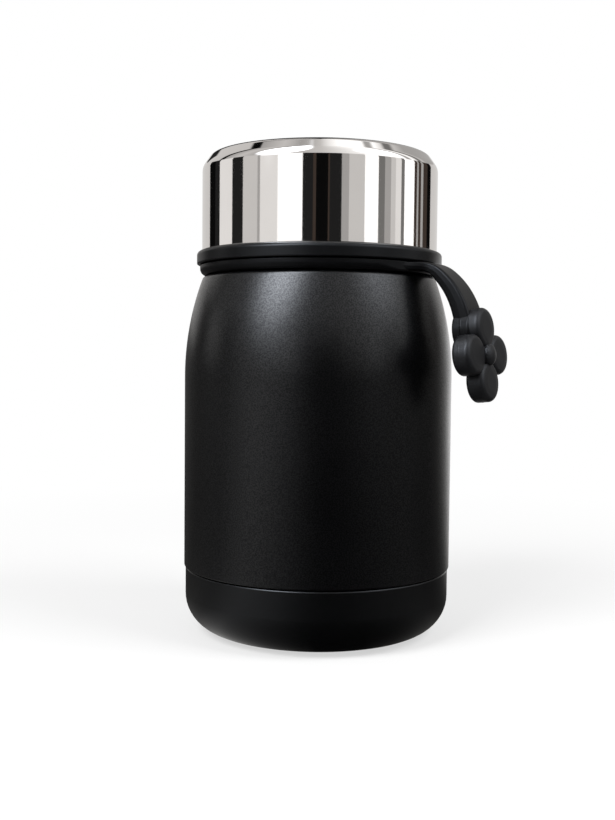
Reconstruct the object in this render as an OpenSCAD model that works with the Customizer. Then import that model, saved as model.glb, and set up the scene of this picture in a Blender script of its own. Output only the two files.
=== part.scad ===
// Small vacuum travel mug with a screw cap, and a silicone strap that ends in a flower.
// The mug stands on the XY plane, its axis is Z, and the strap hangs towards +X.

/* [Body] */
// Outer diameter of the coated body
body_d = 66; // [62:0.5:72]
// Height of the shoulder's flat top above the table
body_h = 87.4; // [80:0.2:100]
// Height of the sloping shoulder below its flat top
shoulder_h = 12.5; // [9:0.5:16]
// Width of the shoulder's flat top, from the neck to its edge
shoulder_ledge = 3.75; // [3:0.25:5]
// Radius that blends the straight wall into the shoulder
shoulder_r = 70; // [30:1:90]
// Rounding of the shoulder's top edge
shoulder_edge_r = 1.4; // [1:0.1:2]
// Thickness of the steel sheet
wall = 0.6; // [0.4:0.1:0.9]
// Width of the vacuum space between the two walls
vacuum_gap = 2.3; // [2:0.1:3.5]
// Thickness of the foil round the inner wall
foil_t = 0.2; // [0.1:0.05:0.4]
// Corner radius of the inner bottom
liner_corner_r = 8; // [4:0.5:12]

/* [Neck] */
// Outer diameter of the neck
neck_d = 49.6; // [46:0.2:53]
// Height of the neck's lip above the shoulder's flat top
neck_h = 16.6; // [14:0.2:20]
// Width of the vacuum space inside the neck
neck_gap = 1; // [0.6:0.1:1.5]
// Thickness of the rolled lip
lip_t = 0.9; // [0.8:0.1:1.4]

/* [Base] */
// Height of the seam between the body and the base cup
base_h = 16.25; // [14:0.25:24]
// Corner radius of the base cup
base_corner_r = 9; // [5:0.5:11]
// How far the base cup's wall stands in from the body's wall
base_step = 0.35; // [0.05:0.05:0.6]
// Open width of the seam
seam_gap = 0.2; // [0.1:0.05:0.5]
// Diameter of the foot pad
pad_d = 42; // [30:1:45]
// Thickness of the foot pad
pad_t = 1.2; // [0.8:0.1:2]
// How far the foot pad stands out of the base cup
pad_proud = 0.3; // [0.1:0.1:0.5]
// Radius of the pump-out port
port_r = 1; // [0.6:0.1:2]
// Diameter of the getter pellet
getter_d = 8; // [5:0.5:10]
// Thickness of the getter pellet
getter_t = 2.2; // [1:0.1:2.6]
// Distance of the getter pellet from the axis
getter_x = 12; // [9:0.5:16]

/* [Cap] */
// Room between the neck and the cap's bore, which the screw thread fills
thread_room = 1.4; // [1:0.1:2]
// Wall of the cap's plastic skirt
skirt_wall = 2.1; // [1.5:0.1:3]
// Thickness of the polished steel cover
cap_wall = 0.5; // [0.4:0.1:0.8]
// Width of the bevel round the cap's top
bevel_w = 2.2; // [1:0.1:4]
// Height of the bevel round the cap's top
bevel_h = 3.1; // [2:0.1:4]
// Rounding of the bevel's two edges
bevel_edge_r = 0.8; // [0.3:0.1:1.2]
// How far the flange stands out from the steel cover
flange_lip = 1.25; // [1.05:0.05:1.5]
// Height of the flange
flange_h = 3.2; // [2.6:0.1:5]
// Rounding of the flange's upper edge
flange_edge_r = 1; // [0.5:0.1:1]
// Thickness of the gasket
gasket_t = 2.2; // [1.5:0.1:3]
// Thickness of the plastic ceiling above the gasket
ceiling_t = 2; // [1.5:0.1:3]
// Wall of the plastic core inside the steel cover
core_wall = 1.5; // [1:0.1:2]
// Thickness of the foam puck
foam_t = 8; // [7:0.5:12]
// How far the plug reaches into the mouth
plug_h = 2; // [1:0.5:4]
// Wall of the plug
plug_wall = 1.6; // [1:0.1:2.5]

/* [Strap] */
// Height of the ring round the neck
ring_h = 2.5; // [2.2:0.1:3.5]
// How far the ring stands in from the flange's edge
ring_step = 0.75; // [0.2:0.05:1]
// Rounding of the ring's lower edge
ring_edge_r = 1.6; // [0.8:0.1:1.8]
// Width of the strap
strap_w = 8; // [6:0.2:8.4]
// Thickness of the strap
strap_t = 4.2; // [3:0.1:4.6]
// Rounding along the strap's edges
strap_edge_r = 0.9; // [0.4:0.1:1.1]
// Thickness of the strap where it leaves the ring
root_t = 2; // [1.4:0.1:2]
// Radius of the strap's first bend, at its outer face
root_bend_r = 8.75; // [6:0.25:10]
// Angle of the strap's first bend
root_bend = 37; // [28:1:45]
// Radius of the strap's long bend, at its outer face
long_bend_r = 20; // [18:0.5:26]
// Downward angle of the strap at its tab
strap_end = 84; // [75:1:90]
// Diameter of the round tab at the strap's end
tab_d = 9.4; // [8.8:0.1:10]

/* [Flower] */
// Number of petals
petals = 4; // [4:1:6]
// Diameter of a petal
petal_d = 9.2; // [8.8:0.1:10]
// Distance of a petal's middle from the flower's middle
petal_reach = 6.1; // [6:0.1:8]
// Thickness of the petals
petal_t = 4.3; // [3.6:0.1:5]
// Rounding of the petals' edges
petal_edge_r = 1; // [0.5:0.1:1.4]
// Diameter of the domed middle
dome_d = 4.9; // [4:0.1:6]
// Height of the dome above the petals
dome_h = 1.5; // [0.8:0.1:2.2]
// How far the webs between the petals lie below their faces
web_sink = 0.25; // [0.1:0.05:0.6]

/* [Clearances] */
// Between pieces that are pressed or glued together
seat_gap = 0.05; // [0.02:0.01:0.1]
// Between the steel cover and the plastic core, and round the foam puck and the gasket
core_gap = 0.1; // [0.05:0.05:0.2]
// Between the strap ring and the neck, shoulder and flange
ring_gap = 0.15; // [0.1:0.05:0.3]
// Between the plug and the mouth
plug_gap = 0.4; // [0.3:0.05:0.8]
// Between the base cup's raised middle and the plate above it
base_void = 0.4; // [0.2:0.1:1]

/* [Hidden] */
$fn = 96;
arc_sag = 0.01;

// Small roundings that every pressed or moulded edge of the mug has
tiny_r = 0.3;
fillet_r = 0.8;

// Radii, from the axis outwards
body_r = body_d / 2;
neck_r = neck_d / 2;
liner_neck_r = neck_r - wall - neck_gap;
mouth_r = liner_neck_r - wall;
plug_r = mouth_r - plug_gap;
bore_r = neck_r + thread_room;
core_r = bore_r + skirt_wall;
cap_r = core_r + core_gap + cap_wall;
flange_r = cap_r + flange_lip;
ring_r = flange_r - ring_step;
base_r = body_r - base_step;
spigot_r = base_r - wall - seat_gap;
pad_r = pad_d / 2;

// Heights, from the table upwards
plate_z = pad_t + wall + base_void;
corner_z = pad_proud + base_corner_r;
plate_corner_r = corner_z - plate_z;
weld_z = corner_z + wall;
liner_z = plate_z + wall + getter_t + vacuum_gap / 2;
liner_weld_z = liner_z + liner_corner_r + vacuum_gap / 2;
shoulder_z = body_h - shoulder_h;
ring_z = body_h + ring_gap;
ring_top = ring_z + ring_h;
flange_z = ring_top + ring_gap;
cap_z = flange_z + flange_h;
lip_z = body_h + neck_h;
ceiling_z = lip_z + gasket_t;
foam_z = ceiling_z + ceiling_t;
cap_top = foam_z + foam_t + core_gap + cap_wall;
core_top = cap_top - bevel_h - cap_wall - flange_edge_r;

// The shoulder's slope from the vertical
slope = atan((body_r - neck_r - shoulder_ledge) / shoulder_h);
liner_inset = wall + vacuum_gap;

// The strap's outer face in the XZ plane, with angles counted downwards from the X axis
root_sink = 0.1;
root_depth = 2.2;
root_run = 0.8;
root_z = ring_top - root_sink;
root_centre = [ring_r + root_run, root_z - root_bend_r];
long_centre = root_centre - (long_bend_r - root_bend_r) * [sin(root_bend), cos(root_bend)];
tab_face = long_centre + long_bend_r * [sin(strap_end), cos(strap_end)];
tab_out = [sin(strap_end), cos(strap_end)];
tab_down = [cos(strap_end), -sin(strap_end)];
tab_r = tab_d / 2;
tab_drop = 0.4;
tab_swell = 0.2;
tab_swell_arc = 12;
charm = tab_face - tab_out * strap_t / 2 + tab_down * (petal_reach - tab_drop);
petal_r = petal_d / 2;

// Outlines are lists of [x, y, rounding] corners. Where an edge is short, the roundings at its two ends
// shrink together until they take up no more than a share of it.
edge_share = 0.98;
least_setback = 0.001;
function at(p, i) = let (q = p[(i + len(p)) % len(p)]) [q[0], q[1]];
function way(p, i) = let (d = at(p, i + 1) - at(p, i)) d / norm(d);
function turn(p, i) = acos(max(-1, min(1, way(p, i - 1) * way(p, i))));
function setback(p, i) = p[(i + len(p)) % len(p)][2] * tan(turn(p, i) / 2);
function room(p, i) =
  edge_share * norm(at(p, i + 1) - at(p, i)) / max(setback(p, i) + setback(p, i + 1), least_setback);
function fitted(p, i) = setback(p, i) * min(1, room(p, i - 1), room(p, i));
function arc(p, i) =
  let (
    back = fitted(p, i),
    angle = turn(p, i),
    r = back / tan(angle / 2),
    side = sign(cross(way(p, i - 1), way(p, i))),
    inward = side * [-way(p, i - 1)[1], way(p, i - 1)[0]],
    centre = at(p, i) - way(p, i - 1) * back + inward * r,
    start = atan2(-inward[1], -inward[0]),
    steps = max(2, ceil(angle / (2 * acos(1 - arc_sag / max(r, 2 * arc_sag)))))
  )
  [for (k = [0:steps]) let (a = start + side * angle * k / steps) centre + r * [cos(a), sin(a)]];
function rounded(p) = [for (i = [0:len(p) - 1]) each (fitted(p, i) > arc_sag ? arc(p, i) : [at(p, i)])];

// Corners of the body wall's shoulder, moved inwards by a distance, up to a flat top
function shoulder(inset, top) =
  let (top_r = body_r - (top - shoulder_z) * tan(slope) - inset / cos(slope))
  [
    [body_r - inset, shoulder_z - inset * tan(slope / 2), shoulder_r - inset],
    [top_r, top, max(shoulder_edge_r - inset, fillet_r)]
  ];
function reversed(list) = [for (i = [len(list) - 1:-1:0]) list[i]];

module lathe(outline) {
  rotate_extrude() polygon(rounded(outline));
}

// Steel vessel

module outer_shell() {
  ledge_z = base_h + wall;
  color([0.06, 0.06, 0.065])
    lathe(concat(
      [[spigot_r, weld_z, 0], [spigot_r, base_h, 0], [body_r, base_h, tiny_r]],
      shoulder(0, body_h),
      [[neck_r, body_h, fillet_r], [neck_r, lip_z - lip_t, 0], [neck_r - wall, lip_z - lip_t, 0]],
      [[neck_r - wall, body_h - wall, fillet_r + wall]],
      reversed(shoulder(wall, body_h - wall)),
      [[body_r - wall, ledge_z, 0], [spigot_r - wall, ledge_z, 0], [spigot_r - wall, weld_z, 0]]
    ));
}

module inner_liner() {
  top = body_h - liner_inset;
  inner = liner_inset + wall;
  color([0.78, 0.78, 0.77])
    lathe(concat(
      [[body_r - liner_inset, liner_weld_z, 0]],
      shoulder(liner_inset, top),
      [[liner_neck_r, top, fillet_r], [liner_neck_r, lip_z - lip_t, 0], [neck_r, lip_z - lip_t, 0]],
      [[neck_r, lip_z, lip_t / 2], [mouth_r, lip_z, lip_t / 2], [mouth_r, top - wall, fillet_r + wall]],
      reversed(shoulder(inner, top - wall)),
      [[body_r - inner, liner_weld_z, 0]]
    ));
}

module liner_bottom() {
  r = body_r - liner_inset;
  color([0.74, 0.74, 0.73])
    lathe([
      [0, liner_z, 0], [r, liner_z, liner_corner_r + wall], [r, liner_weld_z, 0],
      [r - wall, liner_weld_z, 0], [r - wall, liner_z + wall, liner_corner_r], [0, liner_z + wall, 0]
    ]);
}

module heat_shield_foil() {
  inside = body_r - liner_inset + seat_gap;
  top = shoulder_z - shoulder_r * tan(slope / 2);
  color([0.72, 0.45, 0.2])
    lathe([
      [inside, liner_weld_z, 0], [inside + foil_t, liner_weld_z, 0],
      [inside + foil_t, top, 0], [inside, top, 0]
    ]);
}

module bottom_plate() {
  r = spigot_r;
  color([0.7, 0.7, 0.69])
    lathe([
      [port_r + wall, plate_z, 0], [r, plate_z, plate_corner_r], [r, weld_z, 0],
      [r - wall, weld_z, 0], [r - wall, plate_z + wall, plate_corner_r - wall], [port_r, plate_z + wall, 0]
    ]);
}

module seal_bead() {
  color([0.5, 0.5, 0.48])
    lathe([
      [0, plate_z, 0], [port_r + wall - seat_gap, plate_z, 0],
      [port_r - seat_gap, plate_z + wall, 0], [0, plate_z + wall, 0]
    ]);
}

module getter() {
  r = getter_d / 2;
  color([0.35, 0.34, 0.33])
    translate([getter_x, 0, plate_z + wall])
      lathe([[0, 0, 0], [r, 0, 0], [r, getter_t, tiny_r], [0, getter_t, 0]]);
}

// Foot of the mug

module base_cup() {
  top = base_h - seam_gap;
  recess_r = pad_r + seat_gap;
  color([0.05, 0.05, 0.055])
    lathe([
      [recess_r, pad_proud, tiny_r], [base_r, pad_proud, base_corner_r], [base_r, top, tiny_r],
      [base_r - wall, top, 0], [base_r - wall, pad_proud + wall, base_corner_r - wall],
      [recess_r + wall, pad_proud + wall, 0], [recess_r + wall, pad_t + wall, tiny_r],
      [0, pad_t + wall, 0], [0, pad_t, 0], [recess_r, pad_t, 0]
    ]);
}

module foot_pad() {
  color([0.12, 0.12, 0.12])
    lathe([[0, 0, 0], [pad_r, 0, tiny_r], [pad_r, pad_t, 0], [0, pad_t, 0]]);
}

// Screw cap

module cap_shell() {
  lean = atan(bevel_w / bevel_h);
  inside = cap_r - cap_wall;
  bevel_z = cap_top - bevel_h;
  color([0.85, 0.85, 0.86])
    lathe([
      [cap_r, cap_z, 0], [cap_r, bevel_z, bevel_edge_r], [cap_r - bevel_w, cap_top, bevel_edge_r],
      [0, cap_top, 0], [0, cap_top - cap_wall, 0],
      [cap_r - bevel_w - cap_wall * tan((90 - lean) / 2), cap_top - cap_wall, bevel_edge_r - cap_wall],
      [inside, bevel_z - cap_wall * tan(lean / 2), bevel_edge_r - cap_wall], [inside, cap_z, 0]
    ]);
}

module cap_liner() {
  core_in = core_r - core_wall;
  plug_in = plug_r - plug_wall;
  plug_z = lip_z - plug_h;
  color([0.1, 0.1, 0.105])
    lathe([
      [bore_r, flange_z, tiny_r], [flange_r, flange_z, tiny_r], [flange_r, cap_z, flange_edge_r],
      [core_r, cap_z, 0], [core_r, core_top, tiny_r], [core_in, core_top, tiny_r],
      [core_in, foam_z, tiny_r], [0, foam_z, 0], [0, ceiling_z, 0],
      [plug_in, ceiling_z, tiny_r], [plug_in, plug_z, tiny_r], [plug_r, plug_z, tiny_r],
      [plug_r, ceiling_z, 0], [bore_r, ceiling_z, 0]
    ]);
}

module lid_insulation() {
  r = core_r - core_wall - core_gap;
  top = foam_z + foam_t;
  color([0.9, 0.89, 0.85])
    lathe([[0, foam_z, 0], [r, foam_z, tiny_r], [r, top, bevel_w], [0, top, 0]]);
}

module lid_gasket() {
  inside = plug_r + core_gap;
  outside = bore_r - core_gap;
  color([0.8, 0.8, 0.78])
    lathe([
      [inside, lip_z, tiny_r], [outside, lip_z, tiny_r],
      [outside, ceiling_z, tiny_r], [inside, ceiling_z, tiny_r]
    ]);
}

// Strap and flower

// Stations along the strap's outer face: [x, z, downward angle, distance past the tab's middle].
// Before that middle the distance is negative, and the strap widens into the round tab.
across_steps = 10;
root_steps = 8;
long_steps = 14;
tip_steps = 8;
tip_turn = 84;
function along_bend(centre, r, from, to, steps) = [
  for (k = [1:steps])
    let (a = from + (to - from) * k / steps)
    [centre[0] + r * sin(a), centre[1] + r * cos(a), a, -r * (strap_end - a) * PI / 180]
];
function along_tip() = [
  for (k = [1:tip_steps])
    let (past = tab_r * sin(tip_turn * k / tip_steps))
    [tab_face[0] + past * tab_down[0], tab_face[1] + past * tab_down[1], strap_end, past]
];
stations = concat(
  [[ring_r - root_depth, root_z, 0, -tab_d], [root_centre[0], root_z, 0, -tab_d]],
  along_bend(root_centre, root_bend_r, 0, root_bend, root_steps),
  along_bend(long_centre, long_bend_r, root_bend, strap_end, long_steps),
  along_tip()
);

// The strap grows from its root's thickness to its own, and swells a little behind the tab
function ease(x) = let (t = max(0, min(1, x))) t * t * (3 - 2 * t);
function thickness(angle) =
  root_t + (strap_t - root_t) * ease(angle / strap_end)
    + tab_swell * ease((angle - strap_end + tab_swell_arc) / tab_swell_arc);

// Half the width at a distance past the tab's middle, and how far a point lies inside the edge there
function half_width(past) =
  let (round_half = sqrt(max(0, tab_r * tab_r - past * past)))
  past > 0 ? round_half : max(strap_w / 2, round_half);
function inside_edge(past, y) =
  let (round_in = tab_r - norm([past, y]))
  past > 0 ? round_in : max(strap_w / 2 - abs(y), round_in);

// Half the thickness at a distance from the strap's edge, which is rounded
function half_height(t, from_edge) =
  let (into = max(0, strap_edge_r - from_edge))
  t / 2 - strap_edge_r + sqrt(max(0, strap_edge_r * strap_edge_r - into * into));

// One ring of points round the strap: along its outer face, then back along its inner face
function strap_ring_points(st) =
  let (
    t = thickness(st[2]),
    reach = half_width(st[3]),
    out = [sin(st[2]), cos(st[2])],
    middle = [st[0], st[1]] - out * t / 2,
    ys = [for (j = [0:across_steps]) reach * sin(180 * j / across_steps - 90)],
    hs = [for (y = ys) half_height(t, inside_edge(st[3], y))]
  )
  concat(
    [for (j = [0:across_steps]) [middle[0] + out[0] * hs[j], ys[j], middle[1] + out[1] * hs[j]]],
    [for (j = [across_steps:-1:0]) [middle[0] - out[0] * hs[j], ys[j], middle[1] - out[1] * hs[j]]]
  );

module strap() {
  count = 2 * (across_steps + 1);
  last = (len(stations) - 1) * count;
  sides = [
    for (i = [0:len(stations) - 2])
      for (j = [0:count - 1])
        let (a = i * count + j, b = i * count + (j + 1) % count)
        each [[a, b, b + count], [a, b + count, a + count]]
  ];
  near_end = [
    for (j = [0:across_steps - 1])
      each [[count - 2 - j, j + 1, j], [count - 1 - j, count - 2 - j, j]]
  ];
  far_end = [
    for (j = [0:across_steps - 1])
      let (a = last + j, b = last + count - 1 - j)
      each [[a, a + 1, b - 1], [a, b - 1, b]]
  ];
  polyhedron([for (st = stations) each strap_ring_points(st)], concat(sides, near_end, far_end));
}

module facing_out(place) {
  translate([place[0], 0, place[1]])
    rotate([0, strap_end - 90, 0])
      rotate([90, 0, 90])
        children();
}

module strap_ring() {
  inside = neck_r + ring_gap;
  color([0.16, 0.16, 0.17])
    union() {
      lathe([
        [inside, ring_z, fillet_r], [ring_r, ring_z, ring_edge_r],
        [ring_r, ring_top, tiny_r], [inside, ring_top, tiny_r]
      ]);
      strap();
    }
}

module petal() {
  web_r = petal_r - petal_edge_r / 2;
  spread = asin(web_r / petal_reach);
  side = petal_reach * cos(spread);
  translate([petal_reach, 0, 0])
    lathe([[0, 0, 0], [petal_r, 0, petal_edge_r], [petal_r, petal_t, petal_edge_r], [0, petal_t, 0]]);
  translate([0, 0, web_sink])
    linear_extrude(petal_t - 2 * web_sink)
      polygon([[0, 0], side * [cos(spread), -sin(spread)], side * [cos(spread), sin(spread)]]);
}

module tab_pocket() {
  half = tab_r + core_gap;
  middle = petal_reach - tab_drop;
  open_end = petal_reach + petal_d;
  translate([0, 0, -petal_t])
    linear_extrude(petal_t + strap_t / 2 + core_gap)
      polygon(rounded([
        [-half, open_end, 0], [-half, middle - half, half], [half, middle - half, half], [half, open_end, 0]
      ]));
}

module flower_charm() {
  dome_r = dome_d / 2;
  ball_r = (dome_r * dome_r + dome_h * dome_h) / (2 * dome_h);
  color([0.18, 0.18, 0.19])
    facing_out(charm)
      difference() {
        union() {
          for (i = [0:petals - 1])
            rotate([0, 0, 90 + i * 360 / petals]) petal();
          cylinder(r = dome_r, h = petal_t);
          intersection() {
            translate([0, 0, petal_t + dome_h - ball_r]) sphere(ball_r);
            cylinder(r = dome_r, h = petal_t + dome_h);
          }
        }
        tab_pocket();
      }
}

outer_shell();
inner_liner();
liner_bottom();
heat_shield_foil();
bottom_plate();
seal_bead();
getter();
base_cup();
foot_pad();
cap_shell();
cap_liner();
lid_insulation();
lid_gasket();
strap_ring();
flower_charm();
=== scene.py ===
"""Looks of a small vacuum travel mug: a coated steel body, a polished screw cap and a silicone strap.

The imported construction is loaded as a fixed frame. Every piece that shows is drawn again as a fine surface,
worked out with numpy from the frame's boxes and a few sizes of its own, and gets a procedural finish.
Lengths are in metres. The mug stands on the XY plane, its axis is Z, and the strap hangs towards +X.
"""

from __future__ import annotations

import logging
import math
from collections.abc import Callable, Mapping, Sequence
from dataclasses import dataclass, field
from enum import Enum

import bmesh
import bpy
import numpy as np
from mathutils import Matrix, Vector


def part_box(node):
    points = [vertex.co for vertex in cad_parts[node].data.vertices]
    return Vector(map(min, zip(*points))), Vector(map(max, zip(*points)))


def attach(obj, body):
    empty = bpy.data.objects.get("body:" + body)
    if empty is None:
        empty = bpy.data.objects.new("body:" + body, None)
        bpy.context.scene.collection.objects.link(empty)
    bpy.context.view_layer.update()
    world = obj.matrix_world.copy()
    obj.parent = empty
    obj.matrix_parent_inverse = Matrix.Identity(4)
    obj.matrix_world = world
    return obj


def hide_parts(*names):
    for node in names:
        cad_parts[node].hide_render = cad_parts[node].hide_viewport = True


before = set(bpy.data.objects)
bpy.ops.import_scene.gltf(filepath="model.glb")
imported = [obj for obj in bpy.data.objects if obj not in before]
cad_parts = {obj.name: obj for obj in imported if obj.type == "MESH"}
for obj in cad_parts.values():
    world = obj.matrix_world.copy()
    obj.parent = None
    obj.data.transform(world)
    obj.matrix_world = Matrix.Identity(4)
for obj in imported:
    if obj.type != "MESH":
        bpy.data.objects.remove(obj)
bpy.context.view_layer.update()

LOG = logging.getLogger("mug")
MM = 0.001
TURN = 2.0 * math.pi
MERGE = 1e-7

Array = np.ndarray
Colour = tuple[float, float, float]
Value = float | Sequence[float] | bpy.types.NodeSocket
Swell = Callable[[Array, Array, Array], Array]

PLAIN: Colour = (1.0, 1.0, 1.0)
COOL: Colour = (0.9, 0.94, 1.0)


class Body(Enum):
    """The frame's bodies, which the pieces ride on."""

    MUG = "mug"
    LID = "lid"
    SEAL = "lid_seal"
    STRAP = "strap"


class Slot(Enum):
    """The record's material slots."""

    BODY = "body_coat"
    BASE = "base_coat"
    LINER = "liner_steel"
    PLATE = "plate_steel"
    FOIL = "copper_foil"
    SOLDER = "solder"
    GETTER = "getter_alloy"
    FOOT = "foot_silicone"
    COVER = "polished_steel"
    PLASTIC = "cap_plastic"
    FOAM = "foam"
    GASKET = "gasket_silicone"
    STRAP = "strap_silicone"
    FLOWER = "flower_silicone"


def ease(t: Array) -> Array:
    """Rises from 0 to 1 as 3t^2 - 2t^3, with t held between 0 and 1."""
    held = np.clip(t, 0.0, 1.0)
    return held * held * (3.0 - 2.0 * held)


@dataclass(frozen=True)
class Corner:
    """An outline's corner: its place, the radius that rounds it, and the widest step of the run after it."""

    x: float
    y: float
    rounding: float = 0.0
    step: float = 2.5 * MM


@dataclass(frozen=True)
class Outline:
    """A chain of straight runs whose corners are rounded."""

    corners: Sequence[Corner]
    closed: bool = True
    arc_turn: float = math.radians(7.0)
    arc_run: float = 1.2 * MM
    arc_least: int = 3
    edge_share: float = 0.98
    hold: float = 0.1 * MM

    def points(self) -> Array:
        """Works out the outline's points.

        A corner of turn a and radius r is cut back by r tan(a / 2) along both its edges, less where an edge
        is short, and an arc tangent to both edges joins the two cuts. Each straight run has a point close to
        either end, so that smooth shading stays flat along it.

        Returns:
            The points in order, of shape (n, 2).
        """
        place = np.array([(c.x, c.y) for c in self.corners])
        radius = np.array([c.rounding for c in self.corners])
        ahead = np.roll(place, -1, axis=0) - place
        length = np.linalg.norm(ahead, axis=1)
        way = ahead / length[:, None]
        before = np.roll(way, 1, axis=0)
        cross = before[:, 0] * way[:, 1] - before[:, 1] * way[:, 0]
        angle = np.arctan2(cross, (before * way).sum(axis=1))
        if not self.closed:
            radius[[0, -1]] = 0.0
        back = radius * np.tan(np.abs(angle) / 2.0)
        room = self.edge_share * length / np.maximum(back + np.roll(back, -1), MERGE)
        back = back * np.minimum(1.0, np.minimum(room, np.roll(room, 1)))
        count = len(self.corners)
        runs = []
        for i, corner in enumerate(self.corners):
            runs.append(self._arc(place[i], before[i], float(angle[i]), float(back[i])))
            if self.closed or i < count - 1:
                j = (i + 1) % count
                runs.append(self._run(place[i] + way[i] * back[i], place[j] - way[i] * back[j], corner.step))
        return np.concatenate(runs)

    def _arc(self, place: Array, before: Array, angle: float, back: float) -> Array:
        """Gives the points of one corner's arc, or the bare corner where there is none.

        Args:
            place: The corner.
            before: Direction of the edge that arrives there.
            angle: Signed turn at the corner.
            back: How far the arc starts before the corner.

        Returns:
            The arc's points, with both its ends.
        """
        if back < MERGE:
            return place[None, :]
        side = math.copysign(1.0, angle)
        radius = back / math.tan(abs(angle) / 2.0)
        inward = side * np.array([-before[1], before[0]])
        centre = place - before * back + inward * radius
        by_turn = math.ceil(abs(angle) / self.arc_turn)
        by_run = math.ceil(abs(angle) * radius / self.arc_run)
        along = abs(angle) * np.linspace(0.0, 1.0, max(self.arc_least, by_turn, by_run) + 1)[:, None]
        return centre + radius * (np.sin(along) * before - np.cos(along) * inward)

    def _run(self, start: Array, end: Array, step: float) -> Array:
        """Gives the points inside a straight run, with one close to each end.

        Args:
            start: Where the run starts.
            end: Where the run ends.
            step: The widest step between its points.

        Returns:
            The inner points, without the two ends.
        """
        length = float(np.linalg.norm(end - start))
        if length < 4.0 * self.hold:
            return np.empty((0, 2))
        count = max(1, math.ceil((length - 2.0 * self.hold) / step))
        along = np.linspace(self.hold, length - self.hold, count + 1)[:, None]
        return start + (end - start) / length * along


def circle(segments: int) -> Array:
    """Gives points round the unit circle, of shape (segments, 2)."""
    angle = np.linspace(0.0, TURN, segments, endpoint=False)
    return np.stack([np.cos(angle), np.sin(angle)], axis=-1)


def carried_round(profile: Array, ring: Array) -> Array:
    """Carries a profile round a ring: P(i, j) = (rho_i u_j, rho_i v_j, h_i).

    Args:
        profile: Distances rho and heights h, of shape (n, 2).
        ring: Points (u, v) of a closed curve of unit size, of shape (m, 2).

    Returns:
        A grid of points, of shape (n, m, 3).
    """
    flat = profile[:, None, :1] * ring[None, :, :]
    height = np.broadcast_to(profile[:, None, 1:], flat.shape[:2] + (1,))
    return np.concatenate([flat, height], axis=-1)


def swollen(grid: Array, swell: Swell) -> Array:
    """Moves a turned grid outwards: each point's radius r becomes r + swell(r, angle, z).

    Args:
        grid: Points turned round Z, of shape (n, m, 3).
        swell: Gives the radius to add.

    Returns:
        The moved grid.
    """
    radius = np.hypot(grid[..., 0], grid[..., 1])
    angle = np.arctan2(grid[..., 1], grid[..., 0])
    share = 1.0 + swell(radius, angle, grid[..., 2]) / np.maximum(radius, MERGE)
    return np.concatenate([grid[..., :2] * share[..., None], grid[..., 2:]], axis=-1)


@dataclass(frozen=True)
class Axes:
    """A place with three directions of its own."""

    origin: Array
    x: Array
    y: Array
    z: Array

    def place(self, grid: Array) -> Array:
        """Turns a grid from these axes into the frame's: P = origin + x p_x + y p_y + z p_z."""
        return self.origin + grid @ np.stack([self.x, self.y, self.z])


class Skin:
    """One or more closed grids of points that together make a piece."""

    sharp_turn: float = math.radians(38.0)

    def __init__(self) -> None:
        """Starts with no grid."""
        self.points: list[Array] = []
        self.faces: list[Array] = []

    def add(self, grid: Array, loop_rows: bool = False) -> Skin:
        """Adds a grid whose columns join up.

        Args:
            grid: Points of shape (rows, columns, 3).
            loop_rows: Whether the last row joins the first. Otherwise both are poles.

        Returns:
            This skin.
        """
        rows, columns = grid.shape[:2]
        i = np.arange(rows if loop_rows else rows - 1)[:, None]
        j = np.arange(columns)[None, :]
        near, far, right = i * columns, (i + 1) % rows * columns, (j + 1) % columns
        cells = np.stack([near + j, near + right, far + right, far + j], axis=-1).reshape(-1, 4)
        self.faces.append(cells + sum(len(p) for p in self.points))
        self.points.append(grid.reshape(-1, 3))
        return self

    def build(self, name: str) -> bpy.types.Object:
        """Makes the mesh, closes its seams and poles, and turns its faces outwards.

        Args:
            name: The piece's name.

        Returns:
            The piece's object, at the origin.
        """
        points, faces = np.concatenate(self.points), np.concatenate(self.faces)
        mesh = bpy.data.meshes.new(name)
        mesh.vertices.add(len(points))
        mesh.vertices.foreach_set("co", points.astype(np.float32).ravel())
        mesh.loops.add(faces.size)
        mesh.loops.foreach_set("vertex_index", faces.astype(np.int32).ravel())
        mesh.polygons.add(len(faces))
        mesh.polygons.foreach_set("loop_start", np.arange(0, faces.size, 4, dtype=np.int32))
        mesh.update(calc_edges=True)
        sheet = bmesh.new()
        sheet.from_mesh(mesh)
        bmesh.ops.remove_doubles(sheet, verts=sheet.verts, dist=MERGE)
        bmesh.ops.dissolve_degenerate(sheet, edges=sheet.edges, dist=MERGE)
        bmesh.ops.recalc_face_normals(sheet, faces=sheet.faces)
        sheet.to_mesh(mesh)
        sheet.free()
        mesh.polygons.foreach_set("use_smooth", np.ones(len(mesh.polygons), dtype=bool))
        mesh.set_sharp_from_angle(angle=self.sharp_turn)
        mesh.update()
        piece = bpy.data.objects.new(name, mesh)
        bpy.context.scene.collection.objects.link(piece)
        return piece


def turned(name: str, outline: Outline, segments: int, swell: Swell | None = None) -> bpy.types.Object:
    """Makes a piece that is turned round Z.

    Args:
        name: The piece's name.
        outline: Its radius and height, closed, or open from one point of the axis to another.
        segments: Steps round the axis.
        swell: Gives radius to add to its points.

    Returns:
        The piece.
    """
    grid = carried_round(outline.points(), circle(segments))
    if swell is not None:
        grid = swollen(grid, swell)
    return Skin().add(grid, loop_rows=outline.closed).build(name)


def seat(piece: bpy.types.Object, body: Body, slot: Slot, finish: bpy.types.Material, *nodes: str) -> None:
    """Gives a new piece its finish and its body, and hides the frame's nodes that it stands for.

    Args:
        piece: The piece.
        body: The body that it rides on.
        slot: The record's material slot. Not used.
        finish: Its material.
        nodes: Nodes of the frame that it replaces.
    """
    piece.data.materials.append(finish)
    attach(piece, body.value)
    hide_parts(*nodes)
    LOG.info("%s: %d faces, stands for %s", piece.name, len(piece.data.polygons), ", ".join(nodes))


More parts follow.
